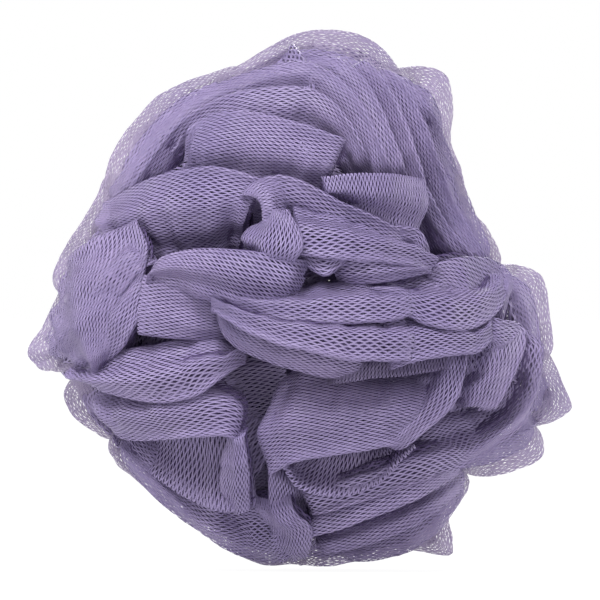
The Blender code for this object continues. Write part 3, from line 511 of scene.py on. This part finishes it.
def ball_radius(way):
    flat = math.hypot(way[0], way[2])
    rim = float(outline_radius(math.atan2(way[2], way[0])))
    return 1 / math.hypot(flat / rim, way[1] / (BALL_DEPTH / MM / 2))


def unit(vectors):
    return vectors / np.maximum(np.linalg.norm(vectors, axis=-1, keepdims=True), 1e-9)


class Line:
    """A smooth curve through points, read by share of its length."""

    def __init__(self, points):
        ends = np.vstack([2 * points[0] - points[1], points, 2 * points[-1] - points[-2]])
        steps = np.linspace(0, len(points) - 1, CURVE_STEPS * (len(points) - 1) + 1)
        low = np.clip(np.floor(steps).astype(int), 0, len(points) - 2)
        t = (steps - low)[:, None]
        a, b, c, d = (ends[low + k] for k in range(4))
        turning = 2 * b + (c - a) * t + (2 * a - 5 * b + 4 * c - d) * t**2 + (3 * b - a - 3 * c + d) * t**3
        self.run = 0.5 * turning
        marks = np.concatenate([[0], np.cumsum(np.linalg.norm(np.diff(self.run, axis=0), axis=1))])
        self.length = marks[-1]
        self.marks = marks / marks[-1]

    def at(self, shares):
        return np.stack([np.interp(shares, self.marks, self.run[:, k]) for k in range(3)], axis=1)


def spread_ways(count):
    """Unit vectors spread evenly over the ball."""
    for k in range(count):
        up = 1 - (2 * k + 1) / count
        round_it = k * math.pi * (3 - math.sqrt(5))
        flat = math.sqrt(1 - up**2)
        yield Vector((flat * math.cos(round_it), flat * math.sin(round_it), up))


def ruffle(way, draw, kind):
    """(crest, foot, bulge) of one fold of this kind that looks out this way from the ball."""
    along = way.orthogonal().normalized()
    along.rotate(Matrix.Rotation(draw.uniform(0, 2 * math.pi), 3, way))
    aside = way.cross(along)
    span = math.radians(draw.uniform(*kind.span)) / 2
    reach = math.radians(draw.uniform(*kind.reach))
    phase = draw.uniform(0, 2 * math.pi)
    rise = kind.rise * draw.uniform(*RISE_SHARES)
    crest, foot = [], []
    for share in RUFFLE_POINTS:
        wave = math.radians(RUFFLE_WAVE) * math.sin(phase + RUFFLE_PHASE * share)
        arch = rise * (RUFFLE_ARCH - share**2) / RUFFLE_ARCH
        for line, shift, height in ((crest, wave, arch), (foot, wave / 2 + reach, -FOOT_SINK)):
            to = (way + along * math.tan(span * share) + aside * math.tan(shift)).normalized()
            pressed = LOW_RISE * max(0.0, -to.z) ** LOW_POWER
            line.append(to * ball_radius(to) * (kind.base + height + pressed))
    return np.array(crest), np.array(foot), draw.uniform(*RUFFLE_SWELL)


class Strip:
    """One fold's strip of netting. Flat points on it are (across, down) in millimetres, the crest at down 0.

    The strip turns in at both ends, runs on past its foot under the next fold, and turns back over its crest.
    """

    def __init__(self, name, crest, foot, bulge, seed, behind=BEHIND, end_run=END_RUN, net=FINE_NET):
        self.crest, self.foot, self.bulge = Line(crest), Line(foot), bulge
        self.width = (self.crest.length + self.foot.length) / 2
        shares = np.linspace(0, 1, PROBES)
        top, low = self.crest.at(shares), self.foot.at(shares)
        self.height = float(np.linalg.norm(low - top, axis=1).mean())
        self.roll = min(ROLL, self.height * ROLL_LIMIT)
        normal = np.cross(np.gradient(top, axis=0), low - top)
        self.side = 1.0 if (unit(normal) * unit(top + low)).sum() > 0 else -1.0
        sharp = name in SHARP_ENDS
        self.end_turn, self.end_bend = (SHARP_TURN, math.pi / 2) if sharp else (END_TURN, END_BEND)
        if sharp or name in OPEN_ENDS:
            end_run = SHARP_RUN if sharp else OPEN_RUN
        self.left, self.right = -end_run, self.width + end_run
        self.top = -(math.pi * self.roll + (self.height if behind is None else behind))
        self.bottom = self.height + PAST_FOOT
        self.turn = math.radians(HOLE_TURNS.get(name, 0))
        self.net = net
        draw = random.Random(seed)
        self.waves = [(draw.uniform(*SWAY_PHASES), draw.uniform(*SWAY_LENGTHS)) for _ in SWAYS]

    def places(self, across, down):
        """Where the strip's flat points lie round the ball's middle."""
        turn = self.end_turn
        lead_in = min(turn / 2, self.width / 6)
        inside = np.clip(across, lead_in, self.width - lead_in)
        share = inside / self.width
        top, low = self.crest.at(share), self.foot.at(share)
        slope = low - top
        tall = np.linalg.norm(slope, axis=1, keepdims=True)
        up = -slope / tall
        after = self.crest.at(np.minimum(share + TANGENT_REACH, 1))
        along = unit(after - self.crest.at(np.maximum(share - TANGENT_REACH, 0)))
        out = unit(np.cross(along, slope)) * self.side
        inward = -unit(out + unit(top + low))
        face = self.face(top, slope, tall, up, out, inward, down)
        turned = self.turned_back(top, up, out, inward, down)
        place = np.where(down[:, None] < 0, turned, face) + out * self.sway(across, down)[:, None]
        beyond = (across - inside)[:, None]
        bent = np.minimum(np.abs(beyond) / turn, self.end_bend)
        straight = np.maximum(np.abs(beyond) - turn * self.end_bend, 0)
        ahead = turn * np.sin(bent) + straight * math.cos(self.end_bend)
        sunk = turn * (1 - np.cos(bent)) + straight * math.sin(self.end_bend)
        return place + along * np.sign(beyond) * ahead + inward * sunk

    def face(self, top, slope, tall, up, out, inward, down):
        """The face from the crest to the foot, swelling in its middle, and the turn inward past the foot."""
        v = np.clip(down / self.height, 0, 1)[:, None]
        lead = np.minimum(self.roll / tall, 0.5)
        swell = 16 * v**2 * (1 - v) ** 2
        face = top + slope * (lead + (1 - lead) * v) + out * (self.bulge * swell)
        past = np.maximum(down - self.height, 0)[:, None] / FOOT_TURN
        return face + FOOT_TURN * (inward * (1 - np.cos(past)) - up * np.sin(past))

    def turned_back(self, top, up, out, inward, down):
        """The half turn over the crest and the run down behind it."""
        roll = self.roll
        back = np.maximum(-down, 0)
        angle = np.minimum(back / roll, math.pi)[:, None]
        run = np.maximum(back - math.pi * roll, 0)[:, None]
        turned = top - up * roll - out * roll + roll * (out * np.cos(angle) + up * np.sin(angle))
        return turned + inward * run * BEHIND_LEAN - up * run

    def sway(self, across, down):
        """How far the netting waves out and in: in two waves across the strip and one down it."""
        ways = ((across, down), (across, down), (down, across))
        swing = 0.0
        for (height, length, slant), (phase, stretch), (ahead, aside) in zip(SWAYS, self.waves, ways):
            turns = 2 * math.pi * ahead / (length * stretch)
            swing = swing + height * np.sin(turns + phase + aside * slant)
        return swing * (CREST_SWAY + (1 - CREST_SWAY) * np.clip(np.abs(down) / FULL_SWAY, 0, 1))


def net_cells(strip):
    """The net of one strip: flat corners of every hole, and the quads of strands and knots between them."""
    middle = np.array([(strip.left + strip.right) / 2, (strip.top + strip.bottom) / 2])
    half = math.hypot(strip.right - strip.left, strip.bottom - strip.top) / 2
    hole_pitch, row_pitch = strip.net
    rows = int(half / row_pitch) + 2
    steps = int(half / hole_pitch) + 2
    j, i = np.mgrid[-rows:rows + 1, -steps:steps + 1]
    odd = j & 1
    x, y = (i + odd / 2) * hole_pitch, j * row_pitch
    cos, sin = math.cos(strip.turn), math.sin(strip.turn)
    turn = np.array([[cos, -sin], [sin, cos]])
    long, tall = RIM_HOLE_SHARE if strip.net == RIM_NET else HOLE_SHARE
    a, b = hole_pitch * long / 2, row_pitch * tall
    corners = np.array([(a, 0), (0, b), (-a, 0), (0, -b)])
    flat = (np.stack([x, y], axis=-1)[:, :, None, :] + corners) @ turn.T + middle
    centre = flat.mean(axis=2)
    kept = (centre[..., 0] > strip.left) & (centre[..., 0] < strip.right)
    kept &= (centre[..., 1] > strip.top) & (centre[..., 1] < strip.bottom)
    number = np.full(kept.shape, -1)
    number[kept] = np.arange(kept.sum())
    points = flat[kept].reshape(-1, 2)

    def neighbour(right, above):
        """The number of the hole that lies so many steps to the right and above, or -1."""
        row, column = np.indices(number.shape)
        row, column = row + above, column + right
        inside = (row >= 0) & (row < number.shape[0]) & (column >= 0) & (column < number.shape[1])
        found = number[np.clip(row, 0, number.shape[0] - 1), np.clip(column, 0, number.shape[1] - 1)]
        return np.where(inside, found, -1)

    above_right = neighbour(odd, 1)
    above_left = neighbour(odd - 1, 1)
    below_right = neighbour(odd, -1)
    right = neighbour(1, 0)
    quads = []
    for parts in (
        ((number, 0), (above_right, 3), (above_right, 2), (number, 1)),
        ((number, 1), (above_left, 0), (above_left, 3), (number, 2)),
        ((below_right, 1), (right, 2), (above_right, 3), (number, 0)),
    ):
        there = np.all([hole >= 0 for hole, _ in parts], axis=0)
        quads.append(np.stack([hole[there] * 4 + corner for hole, corner in parts], axis=1))
    return points, np.concatenate(quads)


def laid_out(sizes):
    """Places for rectangles side by side in rows, in a square, and the square's side."""
    order = sorted(range(len(sizes)), key=lambda k: -sizes[k][1])
    side = math.sqrt(sum(w * h for w, h in sizes)) * FLAT_GROWTH
    while True:
        places, x, y, tall = {}, 0.0, 0.0, 0.0
        for k in order:
            wide, high = sizes[k]
            if x + wide > side:
                x, y, tall = 0.0, y + tall, 0.0
            places[k] = (x, y)
            x += wide
            tall = max(tall, high)
        if y + tall <= side and max(w for w, _ in sizes) <= side:
            return [places[k] for k in range(len(sizes))], side
        side *= FLAT_GROWTH


def netting_mesh(name, points, flats, quads):
    """A smooth mesh of quads, with each point's place in the flat layout."""
    mesh = bpy.data.meshes.new(name)
    mesh.vertices.add(len(points))
    mesh.vertices.foreach_set("co", (points * MM).astype(np.float32).ravel())
    mesh.loops.add(quads.size)
    mesh.loops.foreach_set("vertex_index", quads.astype(np.int32).ravel())
    mesh.polygons.add(len(quads))
    mesh.polygons.foreach_set("loop_start", np.arange(0, quads.size, 4, dtype=np.int32))
    mesh.update(calc_edges=True)
    layer = mesh.uv_layers.new(name="OFBake")
    layer.data.foreach_set("uv", np.clip(flats[quads.ravel()], 0, 1).astype(np.float32).ravel())
    mesh.shade_smooth()
    return mesh


def netting_piece(name, strips, material):
    """One piece: the strips' nets together, smooth, with a flat layout of the netting for its material."""
    sizes = [(s.right - s.left + FLAT_GAP, s.bottom - s.top + FLAT_GAP) for s in strips]
    corners, side = laid_out(sizes)
    points, flats, quads, count = [], [], [], 0
    for strip, corner in zip(strips, corners):
        flat, faces = net_cells(strip)
        points.append(strip.places(flat[:, 0], flat[:, 1]))
        flats.append((flat + np.array(corner) + FLAT_GAP / 2 - np.array([strip.left, strip.top])) / side)
        quads.append(faces + count)
        count += len(flat)
    points, flats, quads = np.concatenate(points), np.concatenate(flats), np.concatenate(quads)
    points[:, 2] = np.maximum(points[:, 2] + MIDDLE_HEIGHT / MM, FLOOR_GAP)
    mesh = netting_mesh(name, points, flats, quads)
    mesh.materials.append(material)
    piece = bpy.data.objects.new(name, mesh)
    bpy.context.scene.collection.objects.link(piece)
    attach(piece, "root")
    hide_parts("netting")
    whole = sum((s.right - s.left) * (s.bottom - s.top) for s in strips) * MM * MM
    print(f"{name}: {2 * len(quads)} triangles, {whole * 1e4:.0f} cm2 of netting")


def node(tree, kind, **values):
    """A new shader node, with its sockets or its settings at these values."""
    made = tree.nodes.new(kind)
    for key, value in values.items():
        if key in made.inputs:
            made.inputs[key].default_value = value
        else:
            setattr(made, key, value)
    return made


def ramp(tree, *stops):
    """A colour ramp through two stops, each (position, colour)."""
    made = tree.nodes.new("ShaderNodeValToRGB")
    for element, (position, colour) in zip(made.color_ramp.elements, stops):
        element.position = position
        element.color = (*colour, 1)
    return made


def new_material(name, roughness):
    """A material, its node tree and its shader."""
    material = bpy.data.materials.new(name)
    material.use_nodes = True
    shader = material.node_tree.nodes["Principled BSDF"]
    shader.inputs["Roughness"].default_value = roughness
    return material, material.node_tree, shader


def netting_material(name, cool, warm, lit_through):
    """Lavender polyethylene netting: a soft satin plastic, in patches of a cool and a warm tone.

    A share of the light comes through it from behind, where it is thin. Its colours come by piece; some are
    painted lighter as painted light, others darker as painted shade.
    """
    material, tree, shader = new_material(name, 0.5)
    link = tree.links.new
    shader.inputs["Specular IOR Level"].default_value = 0.2
    place = node(tree, "ShaderNodeTexCoord")
    broad = node(tree, "ShaderNodeTexNoise", Scale=PATCH_SCALE, Detail=2.0, Roughness=0.5)
    fine = node(tree, "ShaderNodeTexNoise", Scale=GRAIN_SCALE, Detail=2.0, Roughness=0.6)
    patches = ramp(tree, (0.35, cool), (0.68, warm))
    grain = ramp(tree, (0.30, (0.80, 0.79, 0.84)), (0.72, (1.0, 1.0, 1.0)))
    blend = node(tree, "ShaderNodeMix", data_type="RGBA", blend_type="MULTIPLY")
    blend.inputs["Factor"].default_value = 1.0
    bump = node(tree, "ShaderNodeBump", Strength=0.3, Distance=0.0002)
    link(place.outputs["Object"], broad.inputs["Vector"])
    link(place.outputs["Object"], fine.inputs["Vector"])
    link(broad.outputs["Fac"], patches.inputs["Fac"])
    link(fine.outputs["Fac"], grain.inputs["Fac"])
    link(patches.outputs["Color"], blend.inputs[6])
    link(grain.outputs["Color"], blend.inputs[7])
    link(blend.outputs[2], shader.inputs["Base Color"])
    link(fine.outputs["Fac"], bump.inputs["Height"])
    link(bump.outputs["Normal"], shader.inputs["Normal"])
    if lit_through > 0:
        behind = node(tree, "ShaderNodeBsdfTranslucent")
        mix = node(tree, "ShaderNodeMixShader", Fac=lit_through)
        link(blend.outputs[2], behind.inputs["Color"])
        link(shader.outputs["BSDF"], mix.inputs[1])
        link(behind.outputs["BSDF"], mix.inputs[2])
        link(mix.outputs["Shader"], tree.nodes["Material Output"].inputs["Surface"])
    return material


def cord_material():
    """The tie's pale cord, with the slanting lines of its twist."""
    material, tree, shader = new_material("twisted_cord", 0.7)
    link = tree.links.new
    place = node(tree, "ShaderNodeTexCoord")
    twist = node(tree, "ShaderNodeTexWave", Scale=CORD_SCALE, Distortion=1.0, Detail=1.0)
    tones = ramp(tree, (0.0, (0.42, 0.37, 0.55)), (1.0, (0.60, 0.55, 0.72)))
    bump = node(tree, "ShaderNodeBump", Strength=0.5, Distance=0.0003)
    link(place.outputs["Object"], twist.inputs["Vector"])
    link(twist.outputs["Fac"], tones.inputs["Fac"])
    link(tones.outputs["Color"], shader.inputs["Base Color"])
    link(twist.outputs["Fac"], bump.inputs["Height"])
    link(bump.outputs["Normal"], shader.inputs["Normal"])
    return material


def make_camera():
    data = bpy.data.cameras.new("camera")
    data.sensor_width = SENSOR
    data.lens = SENSOR * CAMERA_DISTANCE / (PIXEL * IMAGE_WIDTH)
    data.clip_end = CAMERA_REACH
    camera = bpy.data.objects.new("camera", data)
    camera.location = (0, -CAMERA_DISTANCE, CENTRE_HEIGHT)
    camera.rotation_euler = (math.radians(90), 0, 0)
    bpy.context.scene.collection.objects.link(camera)
    bpy.context.scene.camera = camera


def area_light(name, place, target, size, power):
    data = bpy.data.lights.new(name, "AREA")
    data.shape = "DISK"
    data.size = size
    data.energy = power
    light = bpy.data.objects.new(name, data)
    light.location = place
    light.rotation_euler = (Vector(target) - Vector(place)).to_track_quat("-Z", "Y").to_euler()
    bpy.context.scene.collection.objects.link(light)


def make_backdrop():
    """A world that gives weak, even light and that the camera sees as plain white."""
    world = bpy.data.worlds.new("studio")
    bpy.context.scene.world = world
    world.use_nodes = True
    tree = world.node_tree
    background = tree.nodes["Background"]
    background.inputs["Color"].default_value = (1, 1, 1, 1)
    background.inputs["Strength"].default_value = WORLD_LIGHT
    white = node(tree, "ShaderNodeBackground", Color=(1, 1, 1, 1), Strength=1.0)
    rays = node(tree, "ShaderNodeLightPath")
    mix = node(tree, "ShaderNodeMixShader")
    tree.links.new(rays.outputs["Is Camera Ray"], mix.inputs["Fac"])
    tree.links.new(background.outputs["Background"], mix.inputs[1])
    tree.links.new(white.outputs["Background"], mix.inputs[2])
    tree.links.new(mix.outputs["Shader"], tree.nodes["World Output"].inputs["Surface"])


def floor_material():
    """A pale floor with a white glow of its own, of which the camera sees more, most far from the ball."""
    material, tree, shader = new_material("pale_floor", 0.9)
    link = tree.links.new
    shader.inputs["Base Color"].default_value = (FLOOR_GREY, FLOOR_GREY, FLOOR_GREY, 1)
    glow = node(tree, "ShaderNodeEmission", Color=(1, 1, 1, 1), Strength=GLOW)
    rays = node(tree, "ShaderNodeLightPath")
    place = node(tree, "ShaderNodeTexCoord")
    away = node(tree, "ShaderNodeVectorMath", operation="LENGTH")
    whiter = node(tree, "ShaderNodeMapRange")
    names = ("From Min", "To Min", "From Max", "To Max")
    for name, value in zip(names, (*GLOW_FROM, *GLOW_TO)):
        whiter.inputs[name].default_value = value
    share = node(tree, "ShaderNodeMath", operation="MULTIPLY_ADD")
    share.inputs[2].default_value = GLOW_CAST
    mix = node(tree, "ShaderNodeMixShader")
    link(place.outputs["Object"], away.inputs[0])
    link(away.outputs["Value"], whiter.inputs["Value"])
    link(rays.outputs["Is Camera Ray"], share.inputs[0])
    link(whiter.outputs["Result"], share.inputs[1])
    link(share.outputs["Value"], mix.inputs["Fac"])
    link(shader.outputs["BSDF"], mix.inputs[1])
    link(glow.outputs["Emission"], mix.inputs[2])
    link(mix.outputs["Shader"], tree.nodes["Material Output"].inputs["Surface"])
    return material


def make_floor():
    bpy.ops.mesh.primitive_plane_add(size=FLOOR_SIZE, location=(0, 0, 0))
    floor = bpy.context.active_object
    floor.name = "floor"
    floor.data.materials.append(floor_material())


def front_region(name):
    if name in OUTER_FOLDS:
        return "rim_gathers"
    for piece, names in PIECES.items():
        if name in names:
            return piece
    return "middle_gathers"


def ruffle_region(way):
    if abs(way.z) > POLE_SHARE:
        return "top_gathers" if way.z > 0 else "under_gathers"
    if way.y > BACK_SHARE:
        return "back_gathers"
    return "left_gathers" if way.x < 0 else "right_gathers"


def front_net(name):
    if name in FINE_FOLDS:
        return FAN_NET
    return WIDE_NET if name in WIDE_FOLDS else FINE_NET


def rim_inner(crest, foot):
    """The crest and the foot of the fold that lies in from a fold of the rim, under the front."""
    lines = []
    for share, lift in zip(RIM_INNER, RIM_INNER_LIFTS):
        places = [
            (a + (c - a) * share, b + (d - b) * share, lift) for (a, b, _), (c, d, _) in zip(crest, foot)
        ]
        lines.append(on_ball(places))
    return lines


def rim_strips(number, name, crest, foot, bulge):
    """The strips of one fold of the rim, with their pieces: its own, and the one that lies in from it."""
    line, low = on_ball(crest), on_ball(settled(name, crest, foot, bulge))
    low = facing(name, line, low, bulge)
    for places, share in ((line, 1.0), (low, RIM_FOOT_SWAY)):
        round_rim = np.arctan2(places[:, 2], places[:, 0])
        places[:, 1] += RIM_SWAY * share * np.sin(RIM_WAVES * round_rim)
    yield "rim_gathers", Strip(name, line, low, bulge, number, behind=None, net=RIM_NET)
    seed = RIM_INNER_FIRST + number
    yield "rim_inner", Strip(name, *rim_inner(crest, foot), RIM_INNER_SWELL, seed, net=RIM_NET)


def front_strips(number, name, crest, foot, bulge, draw):
    """The strips of one fold of the front, with their pieces: its own and its second layer's."""
    line, low = on_ball(crest), on_ball(settled(name, crest, foot, bulge))
    low = facing(name, line, low, bulge)
    yield front_region(name), Strip(name, line, low, bulge, number, net=front_net(name))
    if name in NO_SECOND:
        return
    shift = draw.uniform(*SECOND_SHIFT) * unit(low - line) - SECOND_DEPTH * unit(line)
    under = low - SECOND_DEPTH * unit(low)
    seed = SECOND_FIRST + number
    yield "second_layers", Strip(name, line + shift, under, bulge, seed, end_run=SECOND_RUN, net=SECOND_NET)


def ruffle_folds(kind):
    """(way, crest, foot, bulge, number) of each ruffle of a family that isn't in the front's place."""
    draw = random.Random(kind.seed)
    for number, way in enumerate(spread_ways(kind.count), kind.first):
        crest, foot, bulge = ruffle(way, draw, kind)
        if math.degrees(way.angle(AHEAD)) > kind.cone:
            yield way, crest, foot, bulge, number


def ruffle_strips(kind):
    """The strips of a family of ruffles on the sides that the photo doesn't show, with their pieces."""
    for way, *fold in ruffle_folds(kind):
        yield ruffle_region(way), Strip("ruffle", *fold, end_run=RUFFLE_RUN, net=SIDE_NET)


def inner_strips():
    """The strips of the gathers further in, with their piece."""
    for _, crest, foot, *rest in ruffle_folds(INNER_RUFFLES):
        fold = (crest * INNER_SCALE, foot * INNER_SCALE, *rest)
        yield "inner_gathers", Strip("inner", *fold, behind=INNER_BEHIND, end_run=OPEN_RUN, net=OPEN_NET)


def all_strips():
    """The strips of netting by piece."""
    made = []
    draw = random.Random(SECOND_SEED)
    for number, (name, fold) in enumerate(OUTER_FOLDS.items()):
        made.extend(rim_strips(number, name, *fold))
    for number, (name, fold) in enumerate(FRONT_FOLDS.items(), len(OUTER_FOLDS)):
        made.extend(front_strips(number, name, *fold, draw))
    made.extend(ruffle_strips(LARGE_RUFFLES))
    made.extend(ruffle_strips(SMALL_RUFFLES))
    made.extend(inner_strips())
    pieces = {}
    for piece, strip in made:
        pieces.setdefault(piece, []).append(strip)
    return pieces


def main():
    make_camera()
    make_backdrop()
    for name, lamp in LAMPS.items():
        area_light(name, *lamp)
    make_floor()
    looks = {piece: netting_material(*look) for piece, look in LOOKS.items()}
    outside = netting_material(*OUTSIDE)
    for name, strips in all_strips().items():
        netting_piece(name, strips, looks.get(name, outside))
    tie = frame["nodes"]["centre_tie"]
    tie.data.materials.clear()
    tie.data.materials.append(cord_material())
    bpy.context.scene.view_settings.view_transform = "Standard"


for obj in list(bpy.data.objects):
    bpy.data.objects.remove(obj, do_unlink=True)
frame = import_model()
main()
bpy.context.view_layer.update()
